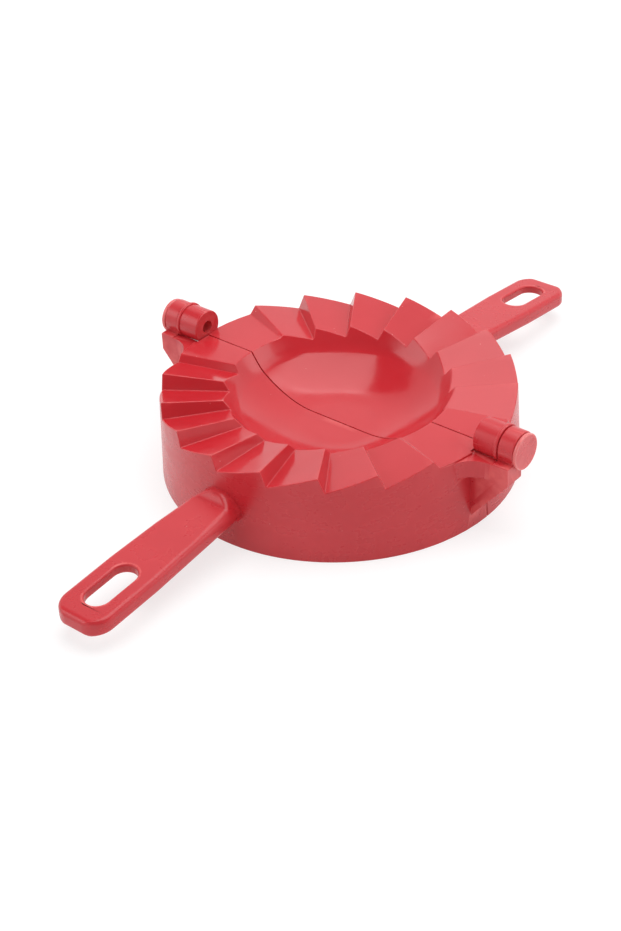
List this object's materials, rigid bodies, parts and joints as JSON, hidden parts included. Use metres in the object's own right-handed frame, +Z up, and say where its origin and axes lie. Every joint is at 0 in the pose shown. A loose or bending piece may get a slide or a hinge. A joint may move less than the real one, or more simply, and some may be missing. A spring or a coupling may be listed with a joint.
{
  "type": "empanada press",
  "caption": "Hinged folding press that seals a filled dough disc into a half-moon pie between two meshing pleated rims, with slotted handles and a cutting skirt",
  "frame": {"origin": "middle of the round skirt's lower edge, on the surface the open press rests on", "axes": "+X runs along the hinge to its right end, +Y points to the back handle, +Z is up"},
  "size_m": [0.152, 0.2568, 0.0379],
  "materials": {
    "front_plastic": "coral red moulded plastic, satin sheen",
    "back_plastic": "coral red moulded plastic, satin sheen",
    "pin_plastic": "milky pale pink plastic"
  },
  "bodies": {
    "front_half": {"front_bowl": "front_plastic", "front_rim": "front_plastic", "front_skirt": "front_plastic", "front_handle": "front_plastic", "front_bracket_left": "front_plastic", "front_bracket_right": "front_plastic", "hinge_pin_left": "pin_plastic", "hinge_pin_right": "pin_plastic"},
    "back_half": {"back_bowl": "back_plastic", "back_rim": "back_plastic", "back_skirt": "back_plastic", "back_handle": "back_plastic", "back_knuckle_left": "back_plastic", "back_knuckle_right": "back_plastic"}
  },
  "joints": [
    {"name": "fold", "type": "hinge", "parent": "front_half", "child": "back_half", "pos_m": [0, 0, 0.0314], "axis": [1, 0, 0], "range_deg": [0, 183]}
  ]
}
